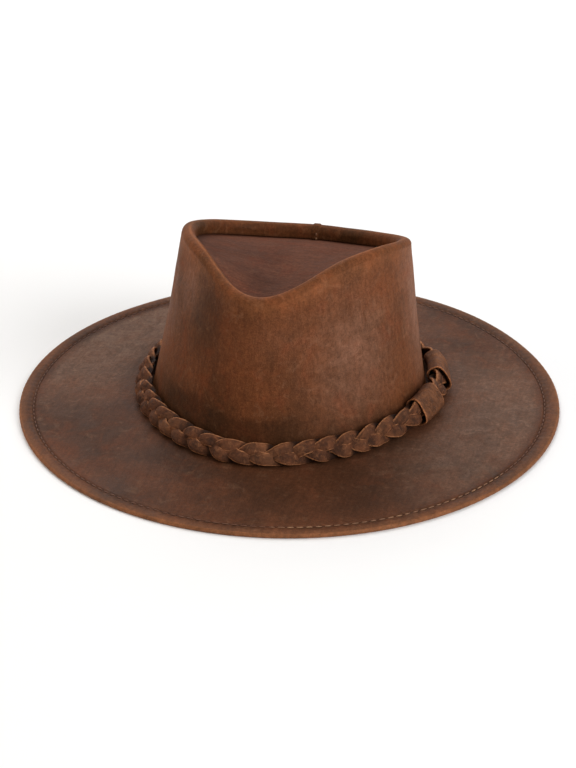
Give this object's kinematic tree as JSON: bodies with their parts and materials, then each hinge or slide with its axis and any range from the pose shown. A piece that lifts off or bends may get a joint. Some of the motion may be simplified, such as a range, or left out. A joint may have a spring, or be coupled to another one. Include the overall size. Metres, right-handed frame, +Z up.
{
  "type": "bush hat",
  "caption": "Leather bush hat with a flat round stitched brim, a pinched crown with an inset top, and a braided leather band held by two keepers.",
  "frame": {"origin": "middle of the brim's outline, at the level of the surface that the brim rests on", "axes": "+Z up through the crown, -Y toward the front of the hat, +X toward the wearer's left"},
  "size_m": [0.346, 0.349, 0.1226],
  "materials": {
    "brim_leather": "waxed, satin, worn lighter at the edge",
    "crown_leather": "waxed, satin, worn lighter at the rim",
    "top_leather": "waxed, satin",
    "braid_leather": "raw-edged, dull",
    "keeper_leather": "raw-edged, dull"
  },
  "bodies": {
    "root": {"brim": "brim_leather", "crown_wall": "crown_leather", "crown_top": "top_leather", "braid_strand_1": "braid_leather", "braid_strand_2": "braid_leather", "braid_strand_3": "braid_leather", "keeper_front": "keeper_leather", "keeper_rear": "keeper_leather"}
  },
  "joints": []
}
